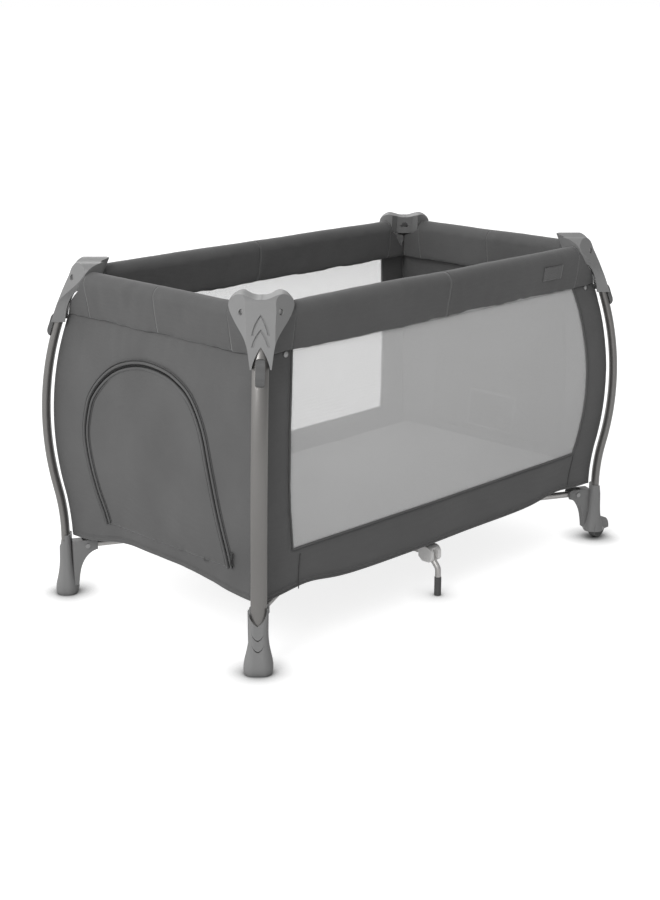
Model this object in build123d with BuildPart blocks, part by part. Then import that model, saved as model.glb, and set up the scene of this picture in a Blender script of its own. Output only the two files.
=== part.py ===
from build123d import *

import os
from math import asin, atan2, cos, degrees, hypot, radians, sin, sqrt, tan

# Folding travel play yard: bowed corner posts, hinged top rails, hub base, sewn fabric body, mattress.
# Frame: origin on the floor at the centre of the yard, X along the long sides, Y along the ends, Z up.
# Front is -Y, back is +Y, left is -X, right is +X.  Lengths are millimetres, angles degrees.
# Corner pieces are drawn once, for the back right corner, and mirrored to the other three.

# Overall frame
POST_X = 596.0                 # post axis at the floor
POST_Y = 330.0
YARD_TOP = 790.0               # top of the corner caps
POST_LEAN = 1.05               # posts lean towards the middle of the long sides

# Bowed post tube, an oval section with its wide face square to the corner's diagonal
POST_WIDE = 34.5
POST_THICK = 20.0
POST_WALL = 1.5
POST_BOTTOM = 58.0
POST_STRAIGHT_TOP = 150.0      # the tube is straight up to here
POST_BULGE_Z = 420.0           # height of the widest point of the bow
POST_BULGE = 31.0              # how far the bow stands out there
POST_BOW_R = 713.0
POST_TOP = 738.0

# Top rails
RAIL_X = 556.7                 # where the rail axes of two sides would cross
RAIL_Y = 309.3
RAIL_Z = 757.0
RAIL_R = 8.5
RAIL_WALL = 1.2
RAIL_PIVOT_IN = 32.0           # rail pivot, measured back from that crossing
LATCH_PIVOT = 24.0             # latch pivot, measured from the middle of the rail
LATCH_HALF = 38.0
BUTTON_R = 7.0

# Pins, shared by every pivot
PIN_R = 3.0
PIN_BORE_R = 3.05
HEAD_R = 5.5
HEAD_T = 2.5
LUG_R = 9.0
CHEEK_GAP = 0.5

# Base: four arms from the feet to the hub
ARM_Z = 118.0
ARM_R = 8.0
ARM_WALL = 1.2
BRACKET_X = 560.1              # arm pivot in the foot bracket
BRACKET_Y = 297.1
BRACKET_HALF_WIDTH = 14.0
HUB_LOW = 88.0
HUB_HIGH = 136.0

# Middle supports
BEAM_Z = 98.0
BEAM_R = 7.0
BEAM_PIVOT_Y = 46.0
BEAM_END_Y = 280.0
LEG_PIVOT_Y = 288.0
LEG_PIVOT_Z = 92.0
LEG_R = 7.0
LEG_FOOT_Y = 311.0
LEG_TIP_R = 8.25
LEG_TIP_HIGH = 46.0

# Feet and wheels
FOOT_HIGH = 145.0
WHEEL_X = 604.0
WHEEL_Y = 336.0
WHEEL_R = 25.0
WHEEL_T = 20.0
HOOD_R = 31.0
HOOD_LOW = 22.0

# Soft goods
WALL_IN = 16.0                 # fabric corner, inwards of the post axis
WALL_T = 3.0
HEM_Z = 146.0
SEAM_Z = 672.0                 # seam between the wall and the rail sleeve
SLEEVE_TOP = 769.0
SLEEVE_HALF = 25.0             # half thickness of the padded sleeve
SLEEVE_BACK = 75.0             # sleeve end, measured back from the rail crossing
FLOOR_Z = 173.0
FLOOR_T = 2.5
MATTRESS_X = 575.0
MATTRESS_Y = 303.0
MATTRESS_LOW = 178.0
MATTRESS_HIGH = 203.0
DOOR_LOW = 205.0
DOOR_HIGH = 600.0
DOOR_GAP = 1.5

# Worked out from the driving sizes
RAIL_HALF_X = RAIL_X - RAIL_PIVOT_IN - LATCH_PIVOT
RAIL_HALF_Y = RAIL_Y - RAIL_PIVOT_IN - LATCH_PIVOT
HUB_X = BRACKET_X - RAIL_HALF_X
HUB_Y = BRACKET_Y - RAIL_HALF_Y
ARM_ANGLE = degrees(atan2(RAIL_HALF_Y, RAIL_HALF_X))
ARM_LENGTH = hypot(RAIL_HALF_X, RAIL_HALF_Y)
BULGE_RISE = POST_BULGE_Z - POST_STRAIGHT_TOP
RADII_SUM = (POST_BULGE**2 + BULGE_RISE**2) / (2 * POST_BULGE)
FLARE_R = RADII_SUM - POST_BOW_R            # reverse arc between the straight foot and the bow
FLARE_ANGLE = degrees(asin(BULGE_RISE / RADII_SUM))
DIAGONAL = Vector(1, 1, 0).normalized()
TANGENT = Vector(-1, 1, 0).normalized()
POST_AXIS = Vector(0, 0, 1) * cos(radians(POST_LEAN)) + TANGENT * sin(radians(POST_LEAN))
POST_SIDE = DIAGONAL.cross(POST_AXIS)
BOW_PLANE = Plane(origin=(POST_X, POST_Y, 0), x_dir=DIAGONAL, z_dir=POST_SIDE)
CAP_FRONT = Plane(origin=(RAIL_X, RAIL_Y, 0), x_dir=TANGENT, z_dir=DIAGONAL)
CAP_SIDE = Plane(origin=(RAIL_X, RAIL_Y, 0), x_dir=DIAGONAL, z_dir=TANGENT * -1)
CAP_INSET = ((POST_X - RAIL_X) + (POST_Y - RAIL_Y)) / sqrt(2)

CORNERS = {
    "front_left": (-1, -1),
    "front_right": (1, -1),
    "back_left": (-1, 1),
    "back_right": (1, 1),
}


def save(piece, name):
    """Label a finished piece and write it to its own file."""
    piece.part.label = name
    export_step(piece.part, f"parts/{name}.step")


def at_corner(piece, side_x, side_y):
    """The back right piece carried to another corner."""
    with BuildPart() as placed:
        if side_x > 0 and side_y > 0:
            add(piece.part)
        elif side_x < 0 and side_y < 0:
            add(piece.part, rotation=(0, 0, 180))
        elif side_x < 0:
            mirror(piece.part, about=Plane.YZ)
        else:
            mirror(piece.part, about=Plane.XZ)
    return placed


def turned(piece, angle):
    """A piece turned about the vertical through the origin."""
    with BuildPart() as placed:
        add(piece.part, rotation=(0, 0, angle))
    return placed


def bow(z):
    """How far the post axis stands out along the corner's diagonal at height z."""
    if z <= POST_STRAIGHT_TOP:
        return 0.0
    joint_z = POST_STRAIGHT_TOP + FLARE_R * sin(radians(FLARE_ANGLE))
    if z <= joint_z:
        return FLARE_R - sqrt(FLARE_R**2 - (z - POST_STRAIGHT_TOP) ** 2)
    return POST_BULGE - POST_BOW_R + sqrt(POST_BOW_R**2 - (z - POST_BULGE_Z) ** 2)


def wall_x(z):
    """Outer face of an end wall at height z."""
    return POST_X + (bow(z) - WALL_IN - z * tan(radians(POST_LEAN))) / sqrt(2)


def wall_y(z):
    """Outer face of a long wall at height z."""
    return POST_Y + (bow(z) - WALL_IN + z * tan(radians(POST_LEAN))) / sqrt(2)


def diagonal_plane(angle, x, y, z):
    """Upright plane through a point, its local x pointing along the plan angle."""
    along = Vector(cos(radians(angle)), sin(radians(angle)), 0)
    return Plane(origin=(x, y, z), x_dir=along, z_dir=along.cross(Vector(0, 0, 1)))


# ---------------------------------------------------------------- corner posts


def make_post(grow=0.0, hollow=True):
    """The bowed oval tube; grown and solid it cuts its own socket."""
    with BuildPart() as post:
        with BuildLine(BOW_PLANE) as axis:
            start = Line((0, POST_BOTTOM - grow), (0, POST_STRAIGHT_TOP))
            flare = CenterArc((FLARE_R, POST_STRAIGHT_TOP), FLARE_R, 180, -FLARE_ANGLE)
            top_angle = degrees(asin((POST_TOP + grow - POST_BULGE_Z) / POST_BOW_R))
            CenterArc((POST_BULGE - POST_BOW_R, POST_BULGE_Z), POST_BOW_R, -FLARE_ANGLE, FLARE_ANGLE + top_angle)
        with BuildSketch(Plane(origin=start @ 0, x_dir=DIAGONAL, z_dir=POST_AXIS)):
            Ellipse(POST_THICK / 2 + grow, POST_WIDE / 2 + grow)
            if hollow:
                Ellipse(POST_THICK / 2 - POST_WALL, POST_WIDE / 2 - POST_WALL, mode=Mode.SUBTRACT)
        sweep(path=axis.wires()[0])
    return post


def pointed_arch(half_width, low, high):
    """Pointed arch outline, drawn about its own upright centre line."""
    with BuildSketch() as arch:
        with BuildLine():
            shoulder = low + 0.35 * (high - low)
            Spline((half_width, low), (0.8 * half_width, shoulder), (0, high))
            Spline((0, high), (-0.8 * half_width, shoulder), (-half_width, low))
            Line((-half_width, low), (half_width, low))
        make_face()
    return arch.sketch


def make_cap(post_socket):
    """Two-lobed moulding that forks round both rails and skirts the post."""
    skin = POST_THICK / 2 + 4
    bow_centre = POST_BULGE - POST_BOW_R + CAP_INSET
    shear = 0.307
    lift = YARD_TOP + 4 - RAIL_Z
    slant = Vector(shear, shear, -1)
    cap_low = 652.0
    cap_drop = YARD_TOP + 4 - cap_low
    lobe = 71.0
    cheek = 25.0
    inner = 23.0
    chamfer = 16.0
    throat = 52.0
    with BuildPart() as cap:
        # Plan of the two lobes, carried down along the lean of the post
        plan = Plane(origin=(RAIL_X - shear * lift, RAIL_Y - shear * lift, YARD_TOP + 4))
        with BuildSketch(plan):
            with BuildLine():
                Polyline(
                    (-lobe, cheek),
                    (-chamfer, cheek),
                    (cheek, -chamfer),
                    (cheek, -lobe),
                    (-inner, -lobe),
                    (-inner, -throat),
                    (-throat, -inner),
                    (-lobe, -inner),
                    close=True,
                )
            make_face()
        extrude(amount=cap_drop * slant.length, dir=slant)
        # Front outline: two round lobes, a saddle and tapering skirts
        with BuildSketch(CAP_FRONT.offset(-140)):
            with BuildLine():
                Spline((0, 782), (20, 784.5), (42, 790), (60, 781), (66.5, 765))
                Spline((66.5, 765), (60, 748), (46, 727), (31, 703), (25.5, 680), (21.5, cap_low))
                Line((21.5, cap_low), (-21.5, cap_low))
                Spline((-21.5, cap_low), (-25.5, 680), (-31, 703), (-46, 727), (-60, 748), (-66.5, 765))
                Spline((-66.5, 765), (-60, 781), (-42, 790), (-20, 784.5), (0, 782))
            make_face()
        extrude(amount=280, mode=Mode.INTERSECT)
        # Side outline: the outer skin runs parallel to the tube and rolls over at the top
        outer_r = POST_BOW_R + skin
        low_angle = degrees(asin((cap_low - POST_BULGE_Z) / outer_r))
        high_angle = degrees(asin((RAIL_Z - POST_BULGE_Z) / outer_r))
        with BuildSketch(CAP_SIDE.offset(-110)):
            with BuildLine():
                skin_arc = CenterArc((bow_centre, POST_BULGE_Z), outer_r, low_angle, high_angle - low_angle)
                crown = Spline(skin_arc @ 1, (-8, 783), (-36, 793), tangents=(skin_arc % 1, (-1, 0.1)))
                Line(crown @ 1, (-90, 793))
                Line((-90, 793), (-90, 736))
                Line((-90, 736), (-40, 736))
                Spline((-40, 736), (-12, 724), (6, 700), (17.5, cap_low))
                Line((17.5, cap_low), skin_arc @ 0)
            make_face()
        extrude(amount=220, mode=Mode.INTERSECT)
        # Openings: rail forks, tube socket and the arch where the tube shows
        slot_end = RAIL_PIVOT_IN - LUG_R - 1.5
        for long_rail in (True, False):
            with BuildSketch(Plane.XY.offset(cap_low - 5)):
                if long_rail:
                    with Locations((RAIL_X - slot_end, RAIL_Y)):
                        Rectangle(90, 2 * LUG_R, align=(Align.MAX, Align.CENTER))
                else:
                    with Locations((RAIL_X, RAIL_Y - slot_end)):
                        Rectangle(2 * LUG_R, 90, align=(Align.CENTER, Align.MAX))
            extrude(amount=RAIL_Z + LUG_R + 1 - cap_low + 5, mode=Mode.SUBTRACT)
        add(post_socket.part, mode=Mode.SUBTRACT)
        with BuildSketch(CAP_FRONT):
            add(pointed_arch(19.5, cap_low - 4, 694))
        extrude(amount=120, mode=Mode.SUBTRACT)
        # Rivet bores with a flat counterbore in each slanted outer face
        for long_rail in (True, False):
            if long_rail:
                bore = Plane(origin=(RAIL_X - RAIL_PIVOT_IN, RAIL_Y, RAIL_Z), x_dir=(1, 0, 0), z_dir=(0, 1, 0))
            else:
                bore = Plane(origin=(RAIL_X, RAIL_Y - RAIL_PIVOT_IN, RAIL_Z), x_dir=(0, 1, 0), z_dir=(1, 0, 0))
            with BuildSketch(bore):
                Circle(PIN_BORE_R)
            extrude(amount=60, both=True, mode=Mode.SUBTRACT)
            with BuildSketch(bore.offset(19)):
                Circle(HEAD_R + 1)
            extrude(amount=40, mode=Mode.SUBTRACT)
    # Two stacked chevron grooves in the spine
    with BuildPart() as grooves:
        for low, high in ((716, 754), (694, 727)):
            with BuildSketch(CAP_FRONT):
                add(pointed_arch(18.5, low, high))
                add(pointed_arch(14.5, low - 6, high - 5), mode=Mode.SUBTRACT)
            extrude(amount=120, both=True)
        with BuildSketch(CAP_SIDE):
            with Locations((bow_centre, POST_BULGE_Z)):
                Circle(outer_r - 3)
        extrude(amount=60, both=True, mode=Mode.SUBTRACT)
    with BuildPart() as grooved:
        add(cap.part)
        add(grooves.part, mode=Mode.SUBTRACT)
    return grooved


def make_clip():
    """Moulded accessory clip on the outer face of the post, with a round knob above two ribs."""
    low = 618.0
    high = 672.0
    centre = POST_BULGE - POST_BOW_R
    seat_r = POST_BOW_R + POST_THICK / 2 + 0.1
    low_angle = degrees(asin((low - POST_BULGE_Z) / seat_r))
    high_angle = degrees(asin((high - POST_BULGE_Z) / seat_r))
    with BuildPart() as clip:
        with BuildSketch(BOW_PLANE):
            with BuildLine():
                seat = CenterArc((centre, POST_BULGE_Z), seat_r, low_angle, high_angle - low_angle)
                foot = seat @ 0
                head = seat @ 1
                ridge = (head.X + 17, (low + high) / 2 + 4)
                Spline(foot, (foot.X + 5, foot.Y + 12), ridge, (head.X + 11, head.Y - 7), head)
            make_face()
        extrude(amount=9.5, both=True)
        # Rounded ends, seen from outside
        with BuildSketch(Plane(origin=BOW_PLANE.from_local_coords((0, (low + high) / 2)), x_dir=POST_SIDE, z_dir=DIAGONAL)):
            RectangleRounded(19, high - low, 6)
        extrude(amount=80, both=True, mode=Mode.INTERSECT)
    return clip


def arm_profile_plane():
    """Upright plane of the base arm's swing, its local x pointing from the foot to the hub."""
    return diagonal_plane(180 + ARM_ANGLE, BRACKET_X, BRACKET_Y, 0)


def make_foot(post_socket, wheeled):
    """Moulded foot: flared column, collar round the tube and a forked bracket for the base arm."""
    swing = arm_profile_plane()
    with BuildPart() as foot:
        for z, wide, thick in (
            (0, 57, 46),
            (9, 62, 51),
            (28, 60, 48),
            (62, 46, 34),
            (96, 41, 29),
            (FOOT_HIGH, 40, 27),
        ):
            centre = BOW_PLANE.from_local_coords((0, z))
            with BuildSketch(Plane(origin=(centre.X, centre.Y, z), x_dir=TANGENT, z_dir=(0, 0, 1))):
                RectangleRounded(wide, thick, 0.42 * thick)
        loft()
        # Bracket that carries the base arm
        with BuildSketch(swing):
            with BuildLine():
                Polyline((-34, 24), (-34, 131), (16, 131))
                RadiusArc((16, 131), (24, 123), 8)
                Line((24, 123), (24, 108))
                Spline((24, 108), (4, 99), (-14, 74), (-22, 40), (-24, 24))
                Line((-24, 24), (-34, 24))
            make_face()
        extrude(amount=BRACKET_HALF_WIDTH, both=True)
        if wheeled:
            # Hood over the wheel, cut off above the floor
            with BuildSketch(Plane.XZ.offset(-WHEEL_Y)):
                with Locations((WHEEL_X, WHEEL_R)):
                    Circle(HOOD_R)
            extrude(amount=WHEEL_T / 2 + 6.5, both=True)
            with BuildSketch(Plane.XY.offset(-10)):
                with Locations((POST_X, POST_Y)):
                    Rectangle(240, 240)
            extrude(amount=HOOD_LOW + 10, mode=Mode.SUBTRACT)
            with BuildSketch(Plane.XZ.offset(-WHEEL_Y)):
                with Locations((WHEEL_X, WHEEL_R)):
                    Circle(WHEEL_R + 2)
                    with Locations((0, -WHEEL_R)):
                        Rectangle(2 * WHEEL_R + 4, 2 * WHEEL_R)
            extrude(amount=WHEEL_T / 2 + 1, both=True, mode=Mode.SUBTRACT)
            with BuildSketch(Plane.XZ.offset(-WHEEL_Y)):
                with Locations((WHEEL_X, WHEEL_R)):
                    Circle(PIN_BORE_R)
            extrude(amount=60, both=True, mode=Mode.SUBTRACT)
            for side in (-1, 1):
                with BuildSketch(Plane.XZ.offset(-WHEEL_Y + side * (WHEEL_T / 2 + 6.5))):
                    with Locations((WHEEL_X, WHEEL_R)):
                        Circle(HEAD_R + 1)
                extrude(amount=side * 40, mode=Mode.SUBTRACT)
        # Fork slot for the arm, open above and towards the hub
        with BuildSketch(swing):
            with BuildLine():
                Polyline((60, 90), (60, 160), (-LUG_R - 1.5, 160), (-LUG_R - 1.5, ARM_Z))
                CenterArc((0, ARM_Z), LUG_R + 1.5, 180, 90)
                Polyline((0, ARM_Z - LUG_R - 1.5), (6, 90), (60, 90))
            make_face()
        extrude(amount=ARM_R + CHEEK_GAP, both=True, mode=Mode.SUBTRACT)
        with BuildSketch(swing):
            with Locations((0, ARM_Z)):
                Circle(PIN_BORE_R)
        extrude(amount=60, both=True, mode=Mode.SUBTRACT)
        add(post_socket.part, mode=Mode.SUBTRACT)
        # Scooped collar mouth on the outer face
        collar = Plane(origin=(POST_X, POST_Y, 0), x_dir=TANGENT, z_dir=DIAGONAL)
        with BuildSketch(collar):
            with BuildLine():
                Line((-19, FOOT_HIGH + 4), (19, FOOT_HIGH + 4))
                Spline((19, FOOT_HIGH + 4), (15, 124), (0, 108))
                Spline((0, 108), (-15, 124), (-19, FOOT_HIGH + 4))
            make_face()
        extrude(amount=60, mode=Mode.SUBTRACT)
        # Two curved grooves under the mouth
        for bottom in (76, 52):
            with BuildSketch(collar):
                with BuildLine():
                    Spline((-14, bottom + 19), (-8, bottom + 6), (0, bottom), (8, bottom + 6), (14, bottom + 19))
                    Spline((14, bottom + 19), (9, bottom + 9), (0, bottom + 2.6), (-9, bottom + 9), (-14, bottom + 19))
                make_face()
            extrude(amount=60, mode=Mode.SUBTRACT)
    return foot


def make_corner_rivets(wheeled):
    """Rail pivots, arm pivot and, on a wheeled foot, the axle."""
    with BuildPart() as rivets:
        across_long = Plane(origin=(RAIL_X - RAIL_PIVOT_IN, RAIL_Y, RAIL_Z), x_dir=(1, 0, 0), z_dir=(0, 1, 0))
        across_end = Plane(origin=(RAIL_X, RAIL_Y - RAIL_PIVOT_IN, RAIL_Z), x_dir=(0, 1, 0), z_dir=(1, 0, 0))
        for bore in (across_long, across_end):
            with BuildSketch(bore.offset(-17)):
                Circle(PIN_R)
            extrude(amount=36)
            with BuildSketch(bore.offset(19)):
                Circle(HEAD_R)
            extrude(amount=HEAD_T)
        with BuildSketch(arm_profile_plane().offset(-BRACKET_HALF_WIDTH)):
            with Locations((0, ARM_Z)):
                Circle(PIN_R)
        extrude(amount=2 * BRACKET_HALF_WIDTH)
        for side in (-1, 1):
            with BuildSketch(arm_profile_plane().offset(side * BRACKET_HALF_WIDTH)):
                with Locations((0, ARM_Z)):
                    Circle(HEAD_R)
            extrude(amount=side * HEAD_T)
        if wheeled:
            with BuildSketch(Plane.XZ.offset(-WHEEL_Y)):
                with Locations((WHEEL_X, WHEEL_R)):
                    Circle(PIN_R)
            extrude(amount=WHEEL_T / 2 + 7, both=True)
            for side in (-1, 1):
                with BuildSketch(Plane.XZ.offset(-WHEEL_Y + side * (WHEEL_T / 2 + 6.6))):
                    with Locations((WHEEL_X, WHEEL_R)):
                        Circle(HEAD_R)
                extrude(amount=side * HEAD_T)
    return rivets


def make_wheel():
    """Small wheel with a crowned tread and dished sides, on its axle's line."""
    with BuildPart() as wheel:
        with BuildSketch(Plane(origin=(WHEEL_X, WHEEL_Y, WHEEL_R), x_dir=(0, 1, 0), z_dir=(1, 0, 0))):
            with BuildLine():
                half = WHEEL_T / 2
                Polyline((-half, PIN_BORE_R), (-half, 8), (-half + 3, 10), (-half + 3, 19), (-half, 21))
                Line((-half, 21), (-half, WHEEL_R - 3))
                ThreePointArc((-half, WHEEL_R - 3), (-half + 1.2, WHEEL_R - 0.8), (-half + 4, WHEEL_R))
                Line((-half + 4, WHEEL_R), (half - 4, WHEEL_R))
                ThreePointArc((half - 4, WHEEL_R), (half - 1.2, WHEEL_R - 0.8), (half, WHEEL_R - 3))
                Line((half, WHEEL_R - 3), (half, 21))
                Polyline((half, 21), (half - 3, 19), (half - 3, 10), (half, 8), (half, PIN_BORE_R))
                Line((half, PIN_BORE_R), (-half, PIN_BORE_R))
            make_face()
        revolve(axis=Axis((WHEEL_X, WHEEL_Y, WHEEL_R), (0, 1, 0)))
    return wheel


# ---------------------------------------------------------------- pivoted tubes


def make_link(length, tube_r, tube_wall):
    """Tube along +X between two pinned lugs, one at the origin and one at length."""
    with BuildPart() as link:
        with BuildSketch(Plane.XZ):
            with Locations((0, 0), (length, 0)):
                Circle(LUG_R)
        extrude(amount=tube_r - 0.5, both=True)
        with BuildSketch(Plane.YZ.offset(LUG_R - 3)):
            Circle(tube_r)
        extrude(amount=length - 2 * LUG_R + 6)
        with BuildSketch(Plane.YZ.offset(LUG_R + 3)):
            Circle(tube_r - tube_wall)
        extrude(amount=length - 2 * LUG_R - 6, mode=Mode.SUBTRACT)
        with BuildSketch(Plane.XZ):
            with Locations((0, 0), (length, 0)):
                Circle(PIN_BORE_R)
        extrude(amount=tube_r + 5, both=True, mode=Mode.SUBTRACT)
    return link


def placed_link(link, x, y, z, angle):
    """A link carried to its first pivot and turned in plan."""
    with BuildPart() as placed:
        with Locations(Location((x, y, z), (0, 0, angle))):
            add(link.part)
    return placed


# ---------------------------------------------------------------- top rails


def make_latch():
    """Channel that joins two half rails along X, with its pivots and a bored middle block."""
    low = RAIL_Z - 12.5
    with BuildPart() as latch:
        with BuildSketch(Plane.XY.offset(low)):
            SlotOverall(2 * LATCH_HALF + 8, 22)
        extrude(amount=20.5)
        with BuildSketch(Plane.XY.offset(low + 3)):
            Rectangle(2 * LATCH_HALF + 20, 2 * LUG_R)
            Rectangle(26, 2 * LUG_R + 1, mode=Mode.SUBTRACT)
        extrude(amount=30, mode=Mode.SUBTRACT)
        with Locations((0, 0, low - 1)):
            Hole(BUTTON_R + 0.3, depth=17)
        with BuildSketch(Plane.XZ):
            with Locations((-LATCH_PIVOT, RAIL_Z), (LATCH_PIVOT, RAIL_Z)):
                Circle(PIN_R)
        extrude(amount=11, both=True)
    return latch


def make_button():
    """Push button in the latch's underside."""
    with BuildPart() as button:
        with BuildSketch(Plane.XY.offset(RAIL_Z - 17)):
            Circle(BUTTON_R)
        extrude(amount=14)
        fillet(button.edges().sort_by(Axis.Z)[0], 1.5)
    return button


# ---------------------------------------------------------------- base


def make_hub(arm_bores):
    """Moulded hub with a fork slot for each arm and each middle beam, open below."""
    with BuildPart() as hub:
        with BuildSketch(Plane.XY.offset(HUB_LOW)):
            RectangleRounded(2 * HUB_X + 28, 2 * HUB_Y + 28, 22)
        extrude(amount=HUB_HIGH - HUB_LOW)
        fillet(hub.faces().sort_by(Axis.Z)[-1].edges(), 5)
        for bore in arm_bores:
            with BuildSketch(bore):
                with BuildLine():
                    reach = LUG_R + 1.5
                    Line((-reach, HUB_LOW - 10), (-reach, ARM_Z))
                    CenterArc((0, ARM_Z), reach, 180, -90)
                    Polyline((0, ARM_Z + reach), (70, ARM_Z + reach), (70, HUB_LOW - 10), (-reach, HUB_LOW - 10))
                make_face()
            extrude(amount=ARM_R + CHEEK_GAP, both=True, mode=Mode.SUBTRACT)
            with BuildSketch(bore):
                with Locations((0, ARM_Z)):
                    Circle(PIN_BORE_R)
            extrude(amount=26, both=True, mode=Mode.SUBTRACT)
        for side in (-1, 1):
            reach = LUG_R + 0.5
            with BuildSketch(Plane.XY.offset(HUB_LOW - 5)):
                with Locations((0, side * (BEAM_PIVOT_Y - reach + 40))):
                    Rectangle(2 * BEAM_R + 1, 80)
            extrude(amount=BEAM_Z + reach - HUB_LOW + 5, mode=Mode.SUBTRACT)
            with BuildSketch(Plane.YZ):
                with Locations((side * BEAM_PIVOT_Y, BEAM_Z)):
                    Circle(PIN_BORE_R)
            extrude(amount=16, both=True, mode=Mode.SUBTRACT)
    return hub


def make_hub_pins(arm_bores):
    """The six pivot pins held in the hub."""
    with BuildPart() as pins:
        for bore in arm_bores:
            with BuildSketch(bore):
                with Locations((0, ARM_Z)):
                    Circle(PIN_R)
            extrude(amount=13, both=True)
        with BuildSketch(Plane.YZ):
            with Locations((-BEAM_PIVOT_Y, BEAM_Z), (BEAM_PIVOT_Y, BEAM_Z)):
                Circle(PIN_R)
        extrude(amount=14, both=True)
    return pins


def make_beam():
    """Tube from the hub to the back knuckle, with a pinned lug at the hub."""
    with BuildPart() as beam:
        with BuildSketch(Plane.YZ):
            with Locations((BEAM_PIVOT_Y, BEAM_Z)):
                Circle(LUG_R - 1)
        extrude(amount=BEAM_R - 0.5, both=True)
        with BuildSketch(Plane.XZ.offset(-BEAM_PIVOT_Y - LUG_R + 4)):
            with Locations((0, BEAM_Z)):
                Circle(BEAM_R)
        extrude(amount=-(BEAM_END_Y - 3 - BEAM_PIVOT_Y - LUG_R + 4))
        with BuildSketch(Plane.XZ.offset(-BEAM_PIVOT_Y - LUG_R - 3)):
            with Locations((0, BEAM_Z)):
                Circle(BEAM_R - ARM_WALL)
        extrude(amount=-300, mode=Mode.SUBTRACT)
        with BuildSketch(Plane.YZ):
            with Locations((BEAM_PIVOT_Y, BEAM_Z)):
                Circle(PIN_BORE_R)
        extrude(amount=20, both=True, mode=Mode.SUBTRACT)
    return beam


def make_knuckle():
    """White moulded fork on the beam's end, with the pin that carries the leg."""
    with BuildPart() as knuckle:
        with BuildSketch(Plane.YZ):
            with BuildLine():
                Polyline((265, 92), (265, 109))
                ThreePointArc((265, 109), (268, 115.5), (274, 118))
                Line((274, 118), (289, 118))
                ThreePointArc((289, 118), (300, 112), (304, 101))
                Polyline((304, 101), (304, 89), (298, 82), (276, 82), (265, 92))
            make_face()
        extrude(amount=18.5, both=True)
        fillet(knuckle.edges().filter_by(Axis.X).sort_by(Axis.Z)[-4:], 2)
        with BuildSketch(Plane.XZ.offset(-260)):
            with Locations((0, BEAM_Z)):
                Circle(BEAM_R + 0.1)
        extrude(amount=-(BEAM_END_Y - 260), mode=Mode.SUBTRACT)
        slot_y = LEG_PIVOT_Y - LUG_R - 0.5
        with BuildSketch(Plane.YZ):
            with BuildLine():
                Polyline((slot_y, 60), (slot_y, 98), (slot_y + 5, 103), (292, 106), (308, 126), (330, 126))
                Polyline((330, 126), (330, 60), (slot_y, 60))
            make_face()
        extrude(amount=LEG_R + CHEEK_GAP, both=True, mode=Mode.SUBTRACT)
        with BuildSketch(Plane.YZ):
            with Locations((LEG_PIVOT_Y, LEG_PIVOT_Z)):
                Circle(PIN_BORE_R)
        extrude(amount=30, both=True, mode=Mode.SUBTRACT)
        with BuildSketch(Plane.YZ):
            with Locations((LEG_PIVOT_Y, LEG_PIVOT_Z)):
                Circle(PIN_R)
        extrude(amount=18, both=True)
    return knuckle


def make_leg():
    """Bent tube leg, outwards and down from the knuckle's pin."""
    with BuildPart() as leg:
        with BuildLine(Plane.YZ) as route:
            bend = FilletPolyline(
                (LEG_PIVOT_Y + 2, LEG_PIVOT_Z - 2),
                (LEG_FOOT_Y, LEG_PIVOT_Z - 25),
                (LEG_FOOT_Y, 6),
                radius=18,
            )
        with BuildSketch(Plane(origin=bend @ 0, z_dir=bend % 0)):
            Circle(LEG_R)
            Circle(LEG_R - ARM_WALL, mode=Mode.SUBTRACT)
        sweep(path=route.wires()[0])
        with BuildSketch(Plane.YZ):
            with Locations((LEG_PIVOT_Y, LEG_PIVOT_Z)):
                Circle(LUG_R - 1)
        extrude(amount=LEG_R - 0.5, both=True)
        with BuildSketch(Plane.YZ):
            with Locations((LEG_PIVOT_Y, LEG_PIVOT_Z)):
                Circle(PIN_BORE_R)
        extrude(amount=20, both=True, mode=Mode.SUBTRACT)
    return leg


def make_leg_tip():
    """Rubber tip over the end of the leg."""
    with BuildPart() as tip:
        with BuildSketch():
            with Locations((0, LEG_FOOT_Y)):
                Circle(LEG_TIP_R)
        extrude(amount=LEG_TIP_HIGH)
        fillet(tip.edges().filter_by(GeomType.CIRCLE), 1.2)
        with BuildSketch(Plane.XY.offset(5.5)):
            with Locations((0, LEG_FOOT_Y)):
                Circle(LEG_R + 0.1)
        extrude(amount=LEG_TIP_HIGH, mode=Mode.SUBTRACT)
    return tip


# ---------------------------------------------------------------- soft goods


def face_line(face, inset, low, high):
    """Curve up a wall's face, inset from its outer surface."""
    steps = 6
    heights = [low + (high - low) * step / steps for step in range(steps + 1)]
    return Spline([(face(z) - inset, z) for z in heights])


def between(first, second):
    """Flat outline closed between two curves that run the same way."""
    with BuildSketch() as outline:
        with BuildLine():
            add(first)
            add(second)
            Line(first @ 0, second @ 0)
            Line(first @ 1, second @ 1)
        make_face()
    return outline.sketch


def strip(face, low, high):
    """Upright outline of a thin wall."""
    return between(face_line(face, 0, low, high), face_line(face, WALL_T, low, high))


def beyond(face, inset):
    """Upright outline of the space outside one wall."""
    low = HEM_Z - 10
    high = SEAM_Z + 10
    far = face(POST_BULGE_Z) + 90
    return between(face_line(face, inset, low, high), Line((far, low), (far, high)))


def sleeve(middle):
    """Upright outline of the padded band folded over a rail, hollow round the rail."""
    high = SLEEVE_TOP - SEAM_Z
    with BuildSketch() as outline:
        with Locations((middle, SEAM_Z + high / 2)):
            RectangleRounded(2 * SLEEVE_HALF, high, 12)
            RectangleRounded(2 * (SLEEVE_HALF - WALL_T), high - 2 * WALL_T, 9, mode=Mode.SUBTRACT)
    return outline.sketch


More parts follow.
